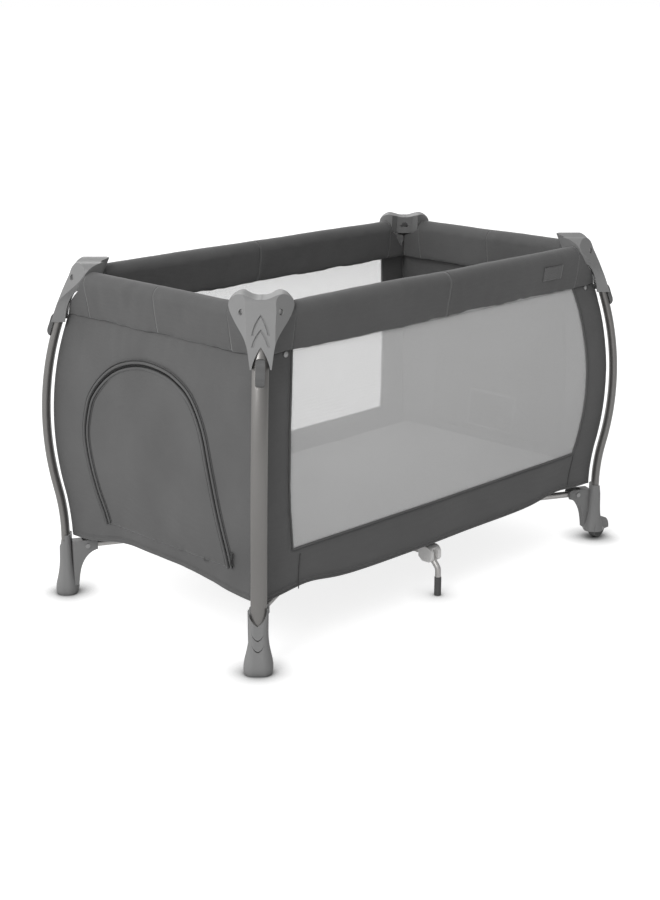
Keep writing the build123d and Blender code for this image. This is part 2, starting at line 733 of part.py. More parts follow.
def make_long_side():
    """Back wall, barrel curved like the posts, with its rail sleeve."""
    wall = strip(wall_y, HEM_Z, SEAM_Z + 1)
    outside = beyond(wall_x, WALL_T + 1)
    band = sleeve(RAIL_Y)
    with BuildPart() as ends:
        with BuildSketch(Plane.XZ.offset(-POST_Y - 60)):
            add(outside)
        extrude(amount=2 * POST_Y + 120)
        mirror(about=Plane.YZ)
    with BuildPart() as side:
        with BuildSketch(Plane.YZ.offset(-POST_X - 30)):
            add(wall)
        extrude(amount=2 * POST_X + 60)
        add(ends.part, mode=Mode.SUBTRACT)
        with BuildSketch(Plane.YZ):
            add(band)
        extrude(amount=RAIL_X - SLEEVE_BACK, both=True)
    return side


def make_end_side():
    """Right wall, barrel curved like the posts, with its rail sleeve."""
    wall = strip(wall_x, HEM_Z, SEAM_Z + 1)
    outside = beyond(wall_y, 0)
    band = sleeve(RAIL_X)
    with BuildPart() as ends:
        with BuildSketch(Plane.YZ.offset(-POST_X - 60)):
            add(outside)
        extrude(amount=2 * POST_X + 120)
        mirror(about=Plane.XZ)
    with BuildPart() as side:
        with BuildSketch(Plane.XZ.offset(-POST_Y - 30)):
            add(wall)
        extrude(amount=2 * POST_Y + 60)
        add(ends.part, mode=Mode.SUBTRACT)
        with BuildSketch(Plane.XZ):
            add(band)
        extrude(amount=RAIL_Y - SLEEVE_BACK, both=True)
    return side


def door_outline(inset):
    """Leaning arch of the zipped door, seen from the left end, along +Y."""
    foot = DOOR_LOW + inset
    shoulders = [(167, foot), (205, 300), (226, 400), (203, 495), (140, 565), (30, 600)]
    shoulders += [(-62, 588), (-128, 550), (-173, 490), (-195, 412), (-213, 318), (-240, foot)]
    shrink = 1 - inset / 200
    points = [(y * shrink, foot + (z - foot) * (1 - inset / 390)) for y, z in shoulders]
    with BuildSketch() as outline:
        with BuildLine():
            Spline(points)
            Line(points[-1], points[0])
        make_face()
    return outline.sketch


def make_left_side(right_side):
    """Left wall: the end wall mirrored, with the doorway cut out."""
    doorway = door_outline(0)
    with BuildPart() as side:
        mirror(right_side.part, about=Plane.YZ)
        with BuildSketch(Plane.YZ.offset(-POST_X - 60)):
            add(doorway)
        extrude(amount=200, mode=Mode.SUBTRACT)
    return side


def make_door():
    """Door flap that fills the doorway and hinges along its bottom edge."""
    wall = strip(wall_x, DOOR_LOW - 20, DOOR_HIGH + 20)
    arch = door_outline(DOOR_GAP)
    with BuildPart() as mirrored:
        with BuildSketch(Plane.XZ.offset(-POST_Y)):
            add(wall)
        extrude(amount=2 * POST_Y)
        with BuildSketch(Plane.YZ.offset(POST_X - 100)):
            with Locations((0, (DOOR_LOW + DOOR_HIGH) / 2)):
                Rectangle(3 * POST_Y, 2 * DOOR_HIGH)
            add(arch, mode=Mode.SUBTRACT)
        extrude(amount=200, mode=Mode.SUBTRACT)
    with BuildPart() as door:
        mirror(mirrored.part, about=Plane.YZ)
    return door


def make_zip_slider():
    """Slider and pull of the door's zip, parked at the lower front end of the zip."""
    slider_z = 240.0
    with BuildPart() as slider:
        face = -wall_x(slider_z) - 1.3
        with BuildSketch(Plane(origin=(face, -248, slider_z), x_dir=(0, 1, 0), z_dir=(-1, 0, 0))):
            RectangleRounded(8, 12, 2)
        extrude(amount=4)
        with BuildSketch(Plane(origin=(face - 3, -248, slider_z - 14), x_dir=(0, 1, 0), z_dir=(-1, 0, 0))):
            RectangleRounded(5, 20, 2)
        extrude(amount=1.6)
    return slider


def make_floor():
    """Fabric floor under the mattress."""
    with BuildPart() as floor_sheet:
        with BuildSketch(Plane.XY.offset(FLOOR_Z)):
            Rectangle(2 * (wall_x(FLOOR_Z) - WALL_T - 1), 2 * (wall_y(FLOOR_Z) - WALL_T - 1))
        extrude(amount=FLOOR_T)
    return floor_sheet


def make_mattress():
    """Padded mattress with rounded edges."""
    with BuildPart() as mattress:
        with BuildSketch(Plane.XY.offset(MATTRESS_LOW)):
            RectangleRounded(2 * MATTRESS_X, 2 * MATTRESS_Y, 30)
        extrude(amount=MATTRESS_HIGH - MATTRESS_LOW)
        fillet(mattress.edges().group_by(Axis.Z)[-1], 9)
        fillet(mattress.edges().group_by(Axis.Z)[0], 9)
    return mattress


# ---------------------------------------------------------------- the whole yard


def build_corners():
    socket = make_post(grow=0.1, hollow=False)
    post = make_post()
    cap = make_cap(socket)
    clip = make_clip()
    wheel = make_wheel()
    feet = {wheeled: make_foot(socket, wheeled) for wheeled in (False, True)}
    rivets = {wheeled: make_corner_rivets(wheeled) for wheeled in (False, True)}
    for corner, (side_x, side_y) in CORNERS.items():
        wheeled = side_x > 0
        save(at_corner(post, side_x, side_y), f"post_tube_{corner}")
        save(at_corner(cap, side_x, side_y), f"corner_cap_{corner}")
        save(at_corner(clip, side_x, side_y), f"accessory_clip_{corner}")
        save(at_corner(feet[wheeled], side_x, side_y), f"foot_{corner}")
        save(at_corner(rivets[wheeled], side_x, side_y), f"rivets_{corner}")
        if wheeled:
            save(at_corner(wheel, side_x, side_y), f"wheel_{corner}")


def build_rails():
    long_half = make_link(RAIL_HALF_X, RAIL_R, RAIL_WALL)
    short_half = make_link(RAIL_HALF_Y, RAIL_R, RAIL_WALL)
    latch = make_latch()
    button = make_button()
    for end, side in (("front", -1), ("back", 1)):
        y = side * RAIL_Y
        pivot = RAIL_X - RAIL_PIVOT_IN
        save(placed_link(long_half, -pivot, y, RAIL_Z, 0), f"rail_{end}_left_half")
        save(placed_link(long_half, pivot, y, RAIL_Z, 180), f"rail_{end}_right_half")
        with BuildPart() as placed_latch:
            with Locations((0, y, 0)):
                add(latch.part)
        save(placed_latch, f"rail_latch_{end}")
        with BuildPart() as placed_button:
            with Locations((0, y, 0)):
                add(button.part)
        save(placed_button, f"latch_button_{end}")
    for end, side in (("left", -1), ("right", 1)):
        x = side * RAIL_X
        pivot = RAIL_Y - RAIL_PIVOT_IN
        save(placed_link(short_half, x, -pivot, RAIL_Z, 90), f"rail_{end}_front_half")
        save(placed_link(short_half, x, pivot, RAIL_Z, -90), f"rail_{end}_back_half")
        with BuildPart() as placed_latch:
            with Locations(Location((x, 0, 0), (0, 0, 90))):
                add(latch.part)
        save(placed_latch, f"rail_latch_{end}")
        with BuildPart() as placed_button:
            with Locations((x, 0, 0)):
                add(button.part)
        save(placed_button, f"latch_button_{end}")


def build_base():
    arm = make_link(ARM_LENGTH, ARM_R, ARM_WALL)
    arm_bores = []
    for corner, (side_x, side_y) in CORNERS.items():
        outward = degrees(atan2(side_y * RAIL_HALF_Y, side_x * RAIL_HALF_X))
        arm_bores.append(diagonal_plane(outward, side_x * HUB_X, side_y * HUB_Y, 0))
        save(placed_link(arm, side_x * HUB_X, side_y * HUB_Y, ARM_Z, outward), f"base_arm_{corner}")
    save(make_hub(arm_bores), "base_hub")
    save(make_hub_pins(arm_bores), "hub_pins")
    beam = make_beam()
    knuckle = make_knuckle()
    leg = make_leg()
    tip = make_leg_tip()
    for end, angle in (("back", 0), ("front", 180)):
        save(turned(beam, angle), f"mid_beam_{end}")
        save(turned(knuckle, angle), f"mid_knuckle_{end}")
        save(turned(leg, angle), f"mid_leg_{end}")
        save(turned(tip, angle), f"mid_leg_tip_{end}")


def build_soft_goods():
    long_side = make_long_side()
    end_side = make_end_side()
    save(at_corner(long_side, 1, 1), "back_side")
    save(at_corner(long_side, 1, -1), "front_side")
    save(at_corner(end_side, 1, 1), "right_side")
    save(make_left_side(end_side), "left_side")
    save(make_door(), "door_flap")
    save(make_zip_slider(), "zip_slider")
    save(make_floor(), "floor_sheet")
    save(make_mattress(), "mattress")


os.makedirs("parts", exist_ok=True)
build_corners()
build_rails()
build_base()
build_soft_goods()
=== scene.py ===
from math import asin, cos, exp, hypot, pi, radians, sin, sqrt, tan

import bpy
import numpy as np
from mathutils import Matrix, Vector, noise


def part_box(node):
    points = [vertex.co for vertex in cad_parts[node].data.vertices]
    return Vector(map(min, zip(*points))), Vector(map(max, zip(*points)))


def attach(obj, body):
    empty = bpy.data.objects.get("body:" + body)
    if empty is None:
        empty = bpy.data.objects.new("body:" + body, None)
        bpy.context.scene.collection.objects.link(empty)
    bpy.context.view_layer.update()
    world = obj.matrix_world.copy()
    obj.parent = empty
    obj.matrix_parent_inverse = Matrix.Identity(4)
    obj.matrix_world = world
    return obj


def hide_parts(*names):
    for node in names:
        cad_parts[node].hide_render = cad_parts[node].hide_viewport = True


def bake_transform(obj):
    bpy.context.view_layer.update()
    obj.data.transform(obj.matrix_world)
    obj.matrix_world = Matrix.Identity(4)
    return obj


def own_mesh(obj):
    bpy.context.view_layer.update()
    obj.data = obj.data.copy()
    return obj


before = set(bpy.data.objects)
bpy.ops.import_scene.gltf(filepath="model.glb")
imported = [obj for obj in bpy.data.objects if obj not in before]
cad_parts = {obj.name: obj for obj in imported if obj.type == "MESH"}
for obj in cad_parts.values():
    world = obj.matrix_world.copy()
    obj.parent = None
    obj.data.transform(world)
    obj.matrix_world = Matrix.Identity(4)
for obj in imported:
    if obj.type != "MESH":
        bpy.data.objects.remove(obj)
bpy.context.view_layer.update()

# Travel play yard: the sewn soft goods and every finish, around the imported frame.
# Metres.  Front is -Y, back is +Y, left is -X with the zipped door, right is +X with the wheels.

# ---------------------------------------------------------------- sizes

POST_X, POST_Y = 0.596, 0.330          # post axis at the floor
POST_LEAN = radians(1.05)
STRAIGHT_TOP, BULGE_Z, BULGE, BOW_R = 0.150, 0.420, 0.031, 0.713
WALL_IN = 0.016                        # fabric corner, inwards of the post axis
CLOTH = 0.0016                         # thickness of the woven cloth
CORNER_GAP = 0.0015                    # between two walls at a corner
RAIL_X, RAIL_Y, RAIL_Z = 0.5567, 0.3093, 0.757
SEAM_Z = 0.672                         # the wall is sewn to the rail sleeve here
HEM_Z = 0.147
WINDOW_LOW, WINDOW_HIGH = 0.247, 0.678
DOOR_ARCH = [
    (0.176, 0.205), (0.205, 0.300), (0.226, 0.400), (0.216, 0.470), (0.196, 0.512), (0.152, 0.556),
    (0.098, 0.583), (0.038, 0.595), (-0.030, 0.592), (-0.080, 0.578), (-0.128, 0.549), (-0.170, 0.490),
    (-0.194, 0.412), (-0.213, 0.318), (-0.234, 0.205),
]
SLEEVE_BACK = 0.075                    # end of a rail's own sleeve, measured back from the rails' crossing
CAP_LOBE_BACK = 0.071                  # end of a cap's lobe, measured the same way
CAP_FLAT_Z = 0.736                     # underside of the cap's body
# The cap as (height, half width across the corner) and its skirt's inner line as (height, distance out).
CAP_FRONT = [(0.652, 0.0215), (0.680, 0.0255), (0.703, 0.031), (0.727, 0.046), (0.748, 0.060), (0.765, 0.0665),
             (0.781, 0.060), (0.790, 0.042)]
CAP_SKIRT = [(0.652, 0.0175), (0.700, 0.006), (0.724, -0.012), (CAP_FLAT_Z, -0.040)]
CORNERS = {"front_left": (-1, -1), "front_right": (1, -1), "back_left": (-1, 1), "back_right": (1, 1)}
UP = Vector((0, 0, 1))
OUT = {"front": Vector((0, -1, 0)), "back": Vector((0, 1, 0)), "left": Vector((-1, 0, 0)), "right": Vector((1, 0, 0))}
WALL_BODY = {"front": "post_front_left", "back": "post_back_left", "left": "post_front_left",
             "right": "post_front_right"}

_rise = BULGE_Z - STRAIGHT_TOP
_radii = (BULGE**2 + _rise**2) / (2 * BULGE)
FLARE_R = _radii - BOW_R
FLARE_ANGLE = asin(_rise / _radii)


def bow(z):
    """How far the post stands out along the corner's diagonal at height z."""
    if z <= STRAIGHT_TOP:
        return 0.0
    if z <= STRAIGHT_TOP + FLARE_R * sin(FLARE_ANGLE):
        return FLARE_R - sqrt(FLARE_R**2 - (z - STRAIGHT_TOP) ** 2)
    return BULGE - BOW_R + sqrt(BOW_R**2 - (z - BULGE_Z) ** 2)


def wall_x(z):
    """Outer face of an end wall at height z."""
    return POST_X + (bow(z) - WALL_IN - z * tan(POST_LEAN)) / sqrt(2)


def wall_y(z):
    """Outer face of a long wall at height z."""
    return POST_Y + (bow(z) - WALL_IN + z * tan(POST_LEAN)) / sqrt(2)


def lerp(a, b, t):
    return a + (b - a) * t


def smooth(a, b, x):
    """0 below a, 1 above b, and a smooth step between."""
    t = min(1.0, max(0.0, (x - a) / (b - a)))
    return t * t * (3 - 2 * t)


def ripple(x, y, z, size, seed=0.0):
    """Smooth noise from -1 to 1, with features of about that size in metres."""
    return noise.noise(Vector((x / size + seed, y / size - seed, z / size + 3.1 * seed)))


# ---------------------------------------------------------------- materials


class Shader:
    """A Principled material, and short ways to add nodes to it."""

    def __init__(self, name, **values):
        self.material = bpy.data.materials.new(name)
        self.material.use_nodes = True
        self.tree = self.material.node_tree
        self.bsdf = self.tree.nodes["Principled BSDF"]
        for key, value in values.items():
            self.bsdf.inputs[key.replace("_", " ")].default_value = value
        self.coords = self.add("ShaderNodeTexCoord").outputs["Object"]

    def add(self, kind, inputs=None, **settings):
        node = self.tree.nodes.new(kind)
        for key, value in settings.items():
            setattr(node, key, value)
        for key, value in (inputs or {}).items():
            if isinstance(value, bpy.types.NodeSocket):
                self.tree.links.new(value, node.inputs[key])
            else:
                node.inputs[key].default_value = value
        return node

    def noise(self, scale, detail=2.0, rough=0.5, vector=None):
        inputs = {"Vector": vector or self.coords, "Scale": scale, "Detail": detail, "Roughness": rough}
        return self.add("ShaderNodeTexNoise", inputs).outputs["Fac"]

    def math(self, operation, a, b=0.0):
        return self.add("ShaderNodeMath", {0: a, 1: b}, operation=operation).outputs[0]

    def spread(self, value, low, high):
        """A 0 to 1 value stretched to run from low to high."""
        inputs = {"Value": value, "To Min": low, "To Max": high}
        return self.add("ShaderNodeMapRange", inputs).outputs["Result"]

    def tinted(self, value, dark, light):
        """A colour between two, by a 0 to 1 value."""
        node = self.add("ShaderNodeMix", {0: value}, data_type="RGBA")
        node.inputs[6].default_value = (*dark, 1)
        node.inputs[7].default_value = (*light, 1)
        return node.outputs[2]

    def set(self, socket, output):
        self.tree.links.new(output, self.bsdf.inputs[socket])

    def bump(self, height, distance, strength=1.0, under=None):
        inputs = {"Height": height, "Distance": distance, "Strength": strength}
        if under is not None:
            inputs["Normal"] = under
        return self.add("ShaderNodeBump", inputs).outputs["Normal"]


def grey(level, warm=0.0):
    """A near-neutral colour, with a little more red than blue where warm."""
    return (level * (1 + warm), level, level * (1 - warm))


def weave(shader, pitch):
    """Height of a plain weave with that thread pitch, whichever way the cloth faces."""
    waves = []
    for axis in ("X", "Y", "Z"):
        inputs = {"Vector": shader.coords, "Scale": 0.157 / pitch, "Distortion": 0.0}
        waves.append(shader.add("ShaderNodeTexWave", inputs, bands_direction=axis).outputs["Fac"])
    across = shader.math("MULTIPLY", waves[0], waves[2])
    along = shader.math("MULTIPLY", waves[1], waves[2])
    flat = shader.math("MULTIPLY", waves[0], waves[1])
    return shader.math("ADD", shader.math("ADD", across, along), flat)


def woven(name, level, pitch=0.0009, tint=0.0, sheen=0.25, wrinkle=0.0006):
    """Woven polyester: fine weave, slubs in the yarn, slight creasing and fading."""
    shader = Shader(name, Roughness=0.85, Sheen_Weight=sheen, Sheen_Roughness=0.45, Specular_IOR_Level=0.25)
    broad = shader.noise(7.0, 3.0)
    yarn = shader.noise(900.0, 1.0)
    shade = shader.math("ADD", shader.spread(broad, -0.35, 0.85), shader.spread(yarn, -0.2, 0.2))
    shader.set("Base Color", shader.tinted(shade, grey(level * 0.86, tint), grey(level * 1.14, tint)))
    shader.set("Roughness", shader.spread(broad, 0.78, 0.92))
    creases = shader.bump(shader.noise(34.0, 4.0, 0.6), wrinkle, 0.8)
    shader.set("Normal", shader.bump(weave(shader, pitch), 0.00012, 0.6, creases))
    return shader.material


def netting(name, level, cover):
    """Fine knitted mesh: small round holes between threads, which let through what is behind."""
    shader = Shader(name, Roughness=0.7, Sheen_Weight=0.1, Specular_IOR_Level=0.2)
    threads = shader.noise(500.0, 1.0)
    shader.set("Base Color", shader.tinted(threads, grey(level * 0.94), grey(level * 1.06)))
    parts = shader.add("ShaderNodeSeparateXYZ", {"Vector": shader.coords})
    plane = shader.add("ShaderNodeCombineXYZ", {"X": parts.outputs["X"], "Y": parts.outputs["Z"]})
    cells = {"Vector": plane.outputs["Vector"], "Scale": 480.0, "Randomness": 0.3}
    voronoi = shader.add("ShaderNodeTexVoronoi", cells, feature="DISTANCE_TO_EDGE", voronoi_dimensions="2D")
    holes = voronoi.outputs["Distance"]
    inputs = {"Value": holes, "From Min": 0.16, "From Max": 0.34, "To Min": cover + 0.3, "To Max": cover - 0.3}
    shader.set("Alpha", shader.add("ShaderNodeMapRange", inputs).outputs["Result"])
    shader.set("Normal", shader.bump(holes, 0.0002, 0.4))
    return shader.material


def moulded(name, level, rough=0.5, warm=0.0, grain=0.00006, coat=0.0):
    """Moulded plastic: fine spark-eroded grain, faint flow marks, scuffed a little smoother in places."""
    shader = Shader(name, Coat_Weight=coat, Coat_Roughness=0.25, Specular_IOR_Level=0.5)
    flow = shader.noise(12.0, 3.0)
    fine = shader.noise(1800.0, 1.0)
    shader.set("Base Color", shader.tinted(flow, grey(level * 0.93, warm), grey(level * 1.07, warm)))
    shader.set("Roughness", shader.spread(shader.noise(60.0, 4.0), rough - 0.08, rough + 0.08))
    shader.set("Normal", shader.bump(fine, grain, 0.5))
    return shader.material


def coated_metal(name, level, rough=0.36, warm=0.02, metallic=0.75):
    """Powder-coated or drawn tube: fine orange peel, faint long drawing marks, soft reflections."""
    shader = Shader(name, Metallic=metallic, Coat_Weight=0.15, Coat_Roughness=0.3)
    stretched = shader.add("ShaderNodeMapping", {"Vector": shader.coords, "Scale": (1.0, 1.0, 0.03)})
    marks = shader.noise(700.0, 2.0, vector=stretched.outputs["Vector"])
    peel = shader.noise(1500.0, 1.0)
    shade = shader.spread(marks, 0.2, 0.8)
    shader.set("Base Color", shader.tinted(shade, grey(level * 0.94, warm), grey(level * 1.05, warm)))
    shader.set("Roughness", shader.spread(shader.noise(40.0, 3.0), rough - 0.05, rough + 0.06))
    shader.set("Normal", shader.bump(peel, 0.00003, 0.4))
    return shader.material


def rubber(name, level):
    """Matt rubber with a dusty, finely pitted skin."""
    shader = Shader(name, Specular_IOR_Level=0.3)
    dust = shader.noise(90.0, 4.0)
    shader.set("Base Color", shader.tinted(dust, grey(level * 0.85), grey(level * 1.25)))
    shader.set("Roughness", shader.spread(dust, 0.68, 0.86))
    shader.set("Normal", shader.bump(shader.noise(1200.0, 2.0), 0.0001, 0.5))
    return shader.material


BODY = woven("woven_body", 0.120)
LINING = woven("woven_lining", 0.075, tint=0.01)
PATCH = woven("woven_pocket", 0.095, tint=0.01)
NET = netting("knitted_mesh", 0.92, 0.42)
BINDING = woven("edge_binding", 0.085, pitch=0.0007)
THREAD = woven("sewing_thread", 0.16, pitch=0.0004, sheen=0.1)
ZIP_TAPE = woven("zip_tape", 0.018, pitch=0.0006)
TAG = woven("blank_tag", 0.13, pitch=0.0005, sheen=0.4)
LABEL = woven("blank_label", 0.62, pitch=0.0005, sheen=0.1)
PAD = woven("mattress_cover", 0.21, pitch=0.0011, sheen=0.3)
FLOOR_CLOTH = woven("floor_cloth", 0.030, pitch=0.0012)
CAP = moulded("cap_plastic", 0.235, 0.42)
FOOT = moulded("foot_plastic", 0.225, 0.46)
CLIP = moulded("clip_plastic", 0.10, 0.22, coat=0.6)
HUB = moulded("hub_plastic", 0.05, 0.5)
KNUCKLE = moulded("knuckle_plastic", 0.88, 0.4, 0.01)
TUBE = coated_metal("post_coating", 0.25, 0.32, 0.03)
RAIL = coated_metal("rail_coating", 0.33, 0.42)
ARM = coated_metal("arm_coating", 0.62, 0.38)
LATCH = coated_metal("latch_coating", 0.28, 0.45)
RIVET = coated_metal("rivet_steel", 0.42, 0.38, 0.0, 0.9)
ZIP_METAL = coated_metal("zip_metal", 0.06, 0.35, 0.0, 0.8)
WHEEL = rubber("wheel_rubber", 0.16)
TIP = rubber("tip_rubber", 0.11)

CAD_FINISH = {
    "post_tube": TUBE, "corner_cap": CAP, "accessory_clip": CLIP, "foot": FOOT, "rivets": RIVET, "wheel": WHEEL,
    "rail_latch": LATCH, "rail": RAIL, "latch_button": HUB, "base_arm": ARM, "base_hub": HUB, "hub_pins": RIVET,
    "mid_beam": ARM, "mid_knuckle": KNUCKLE, "mid_leg_tip": TIP, "mid_leg": ARM,
}
for node_name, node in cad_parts.items():
    fitting = [key for key in CAD_FINISH if node_name.startswith(key)]
    if fitting:
        node.data.materials.clear()
        node.data.materials.append(CAD_FINISH[max(fitting, key=len)])

# ---------------------------------------------------------------- making pieces


def make(name, verts, faces, material):
    mesh = bpy.data.meshes.new(name)
    mesh.from_pydata([tuple(v) for v in verts], [], faces)
    mesh.validate()
    mesh.materials.append(material)
    mesh.shade_smooth()
    obj = bpy.data.objects.new(name, mesh)
    bpy.context.scene.collection.objects.link(obj)
    return obj


def thicken(obj, thickness=CLOTH, offset=0.0):
    """Gives a sheet its thickness, kept as a modifier so that folding doesn't thin it."""
    solid = obj.modifiers.new("thickness", "SOLIDIFY")
    solid.thickness = thickness
    solid.offset = offset
    solid.use_even_offset = True
    return obj


def grid_faces(rows, columns, closed=False, flip=False):
    """Quads of a grid whose vertices run along each row, row after row."""
    faces = []
    for i in range(rows - 1):
        for j in range(columns if closed else columns - 1):
            k = (j + 1) % columns
            face = (i * columns + j, i * columns + k, (i + 1) * columns + k, (i + 1) * columns + j)
            faces.append(face[::-1] if flip else face)
    return faces


def folds_x(obj, body):
    """A piece of a long wall: rides on its post."""
    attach(obj, body)
    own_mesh(obj)
    return obj


def folds_y(obj, body):
    """A piece of an end wall: rides on its post."""
    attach(obj, body)
    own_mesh(obj)
    return obj


def sweep(name, path, outward, profile, material, closed=False):
    """A profile of (side, out) points swept along a path, with an outward direction at each path point."""
    verts = []
    count = len(path)
    for i, (point, out) in enumerate(zip(path, outward)):
        before = path[(i - 1) % count] if closed or i > 0 else path[i]
        after = path[(i + 1) % count] if closed or i < count - 1 else path[i]
        tangent = (Vector(after) - Vector(before)).normalized()
        side = tangent.cross(Vector(out)).normalized()
        verts += [Vector(point) + side * u + Vector(out) * v for u, v in profile]
    faces = grid_faces(count, len(profile), closed=True)
    if closed:
        last = (count - 1) * len(profile)
        for j in range(len(profile)):
            k = (j + 1) % len(profile)
            faces.append((last + j, last + k, k, j))
    else:
        faces.append(tuple(range(len(profile)))[::-1])
        faces.append(tuple((count - 1) * len(profile) + j for j in range(len(profile))))
    return make(name, verts, faces, material)


def round_profile(radius, sides=10, flat=1.0):
    return [(radius * cos(2 * pi * i / sides), radius * flat * sin(2 * pi * i / sides)) for i in range(sides)]


def lathe(name, profile, centre, axis, material, sides=32):
    """A profile of (radius, along) points turned about an axis."""
    turn = Vector((0, 0, 1)).rotation_difference(Vector(axis)).to_matrix()
    verts = []
    for radius, along in profile:
        for i in range(sides):
            angle = 2 * pi * i / sides
            verts.append(Vector(centre) + turn @ Vector((radius * cos(angle), radius * sin(angle), along)))
    faces = grid_faces(len(profile), sides, closed=True)
    faces.append(tuple(range(sides))[::-1])
    faces.append(tuple((len(profile) - 1) * sides + i for i in range(sides)))
    return make(name, verts, faces, material)


def evenly(points, step, closed=False):
    """The points of a polyline, spaced evenly about a step apart."""
    pts = [Vector(p) for p in points] + ([Vector(points[0])] if closed else [])
    lengths = np.concatenate([[0.0], np.cumsum([(b - a).length for a, b in zip(pts, pts[1:])])])
    count = max(2, int(round(lengths[-1] / step)) + 1)
    targets = np.linspace(0, lengths[-1], count)[: -1 if closed else None]
    table = np.array([tuple(p) for p in pts])
    return [Vector([np.interp(t, lengths, table[:, k]) for k in range(3)]) for t in targets]


def stitches(name, path, outward, material=THREAD, pitch=0.0042, width=0.00035):
    """A run of sewn stitches: short rounded dashes along a path."""
    verts, faces = [], []
    points = evenly(path, pitch)
    directions = [Vector(o) for o in outward]
    for i in range(len(points) - 1):
        at = min(len(directions) - 1, int(i * len(directions) / len(points)))
        out = directions[at]
        tangent = (points[i + 1] - points[i]).normalized()
        side = tangent.cross(out).normalized()
        base = len(verts)
        for share, size, lift in ((0.1, 0.5, 0.0), (0.3, 1.0, 0.00035), (0.6, 1.0, 0.00035), (0.8, 0.5, 0.0)):
            centre = points[i].lerp(points[i + 1], share) + out * lift
            for k in range(5):
                angle = 2 * pi * k / 5
                verts.append(centre + (side * cos(angle) + out * sin(angle)) * width * size)
        for ring in range(3):
            for k in range(5):
                n = (k + 1) % 5
                a, b = base + ring * 5, base + ring * 5 + 5
                faces.append((a + k, a + n, b + n, b + k))
        faces.append(tuple(base + k for k in range(5))[::-1])
        faces.append(tuple(base + 15 + k for k in range(5)))
    return make(name, verts, faces, material)


# ---------------------------------------------------------------- the long walls


def long_wrinkle(x, z, seed):
    """How far a long wall's cloth stands out of its smooth shape."""
    band = smooth(0.44, 0.56, abs(x))
    soft = 0.0016 * ripple(x, 0, z * 1.6, 0.16, seed)
    cross = 0.0011 * band * ripple(x * 0.4, 0, z, 0.030, seed + 4)
    pulls = 0.0012 * smooth(0.62, 0.68, z) * ripple(x, 0, z * 0.3, 0.045, seed + 9)
    return soft + cross + pulls


def hem_of_long(x):
    """Height of a long wall's lower edge: it hangs in shallow waves between the feet."""
    lift = 0.010 * exp(-(((abs(x) - 0.44) / 0.07) ** 2))
    return HEM_Z - 0.004 - 0.004 * cos(2 * pi * x / 1.15) + lift + 0.0015 * sin(11 * x + 1)


def window_side(t):
    """Half width of a long wall's window, from its sill at 0 to its head at 1."""
    return lerp(0.492, 0.476, t) + 0.034 * 4 * t * (1 - t) * lerp(1.0, 0.82, t)


def long_grid(side, columns, rows, seed):
    """Vertices of a long wall, from breakpoints across and up it."""
    verts = []
    for v in rows:
        share = min(1, max(0, v))
        for u in columns:
            x_window = window_side(share)
            if abs(u) <= 1:
                x = u * x_window
            else:
                nominal = lerp(WINDOW_LOW, WINDOW_HIGH, share)
                x = (1 if u > 0 else -1) * lerp(x_window, wall_x(nominal) - CORNER_GAP, abs(u) - 1)
            sill = WINDOW_LOW - 0.002 * cos(3 * x)
            if v < 0:
                z = lerp(sill, hem_of_long(x), -v)
                if abs(u) > 1:
                    x = (1 if u > 0 else -1) * lerp(x_window, wall_x(z) - CORNER_GAP, abs(u) - 1)
            else:
                z = lerp(sill, WINDOW_HIGH, v)
            out = long_wrinkle(x, z, seed)
            inward = 0.004 * (1 - smooth(0.40, 0.56, abs(x))) * sin(pi * share)
            verts.append((x, side * (wall_y(z) - CLOTH + out - inward), z))
    return verts


def long_wall(side, name, body):
    """A long wall of cloth with its mesh window."""
    columns = [-2 + i / 8 for i in range(8)] + [-1 + i / 48 for i in range(96)] + [1 + i / 8 for i in range(9)]
    rows = [-1 + i / 10 for i in range(10)] + [i / 40 for i in range(41)]
    verts = long_grid(side, columns, rows, 2.0 * side)
    cloth, net = [], []
    for index, face in enumerate(grid_faces(len(rows), len(columns), flip=side > 0)):
        row, column = divmod(index, len(columns) - 1)
        in_window = rows[row] >= 0 and -1 <= columns[column] < 1
        (net if in_window else cloth).append(face)
    wall = thicken(make(f"{name}_wall", verts, cloth, BODY))
    mesh = make(f"{name}_window", verts, net, NET)
    for obj in (wall, mesh):
        drop_loose(obj)
    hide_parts(f"{name}_side")
    folds_x(wall, body)
    folds_x(mesh, body)


def drop_loose(obj):
    """Removes the vertices that no face uses."""
    mesh = obj.data
    used = np.zeros(len(mesh.vertices), bool)
    for polygon in mesh.polygons:
        used[list(polygon.vertices)] = True
    index = np.cumsum(used) - 1
    verts = [tuple(v.co) for v, keep in zip(mesh.vertices, used) if keep]
    faces = [[int(index[i]) for i in polygon.vertices] for polygon in mesh.polygons]
    fresh = bpy.data.meshes.new(mesh.name)
    fresh.from_pydata(verts, [], faces)
    fresh.materials.append(mesh.materials[0])
    fresh.shade_smooth()
    obj.data = fresh


# ---------------------------------------------------------------- the end walls


def end_wrinkle(y, z, side):
    soft = 0.0034 * ripple(0, y, z * 0.45, 0.10, 5 * side)
    gathers = 0.0012 * smooth(0.52, 0.67, z) * ripple(0, y, z * 0.15, 0.024, 7 * side)
    drag = 0.0014 * (1 - smooth(0.18, 0.36, z)) * ripple(0, y + z * 0.5, z * 0.3, 0.05, 11)
    return soft + gathers + drag


def end_point(side, y, z, out=0.0):
    return Vector((side * (wall_x(z) - CLOTH + end_wrinkle(y, z, side) + out), y, z))


def hem_of_end(y):
    """Height of an end wall's lower edge, which arches up between the feet."""
    return HEM_Z - 0.003 + 0.026 * exp(-((y / 0.21) ** 4)) + 0.002 * sin(15 * y)


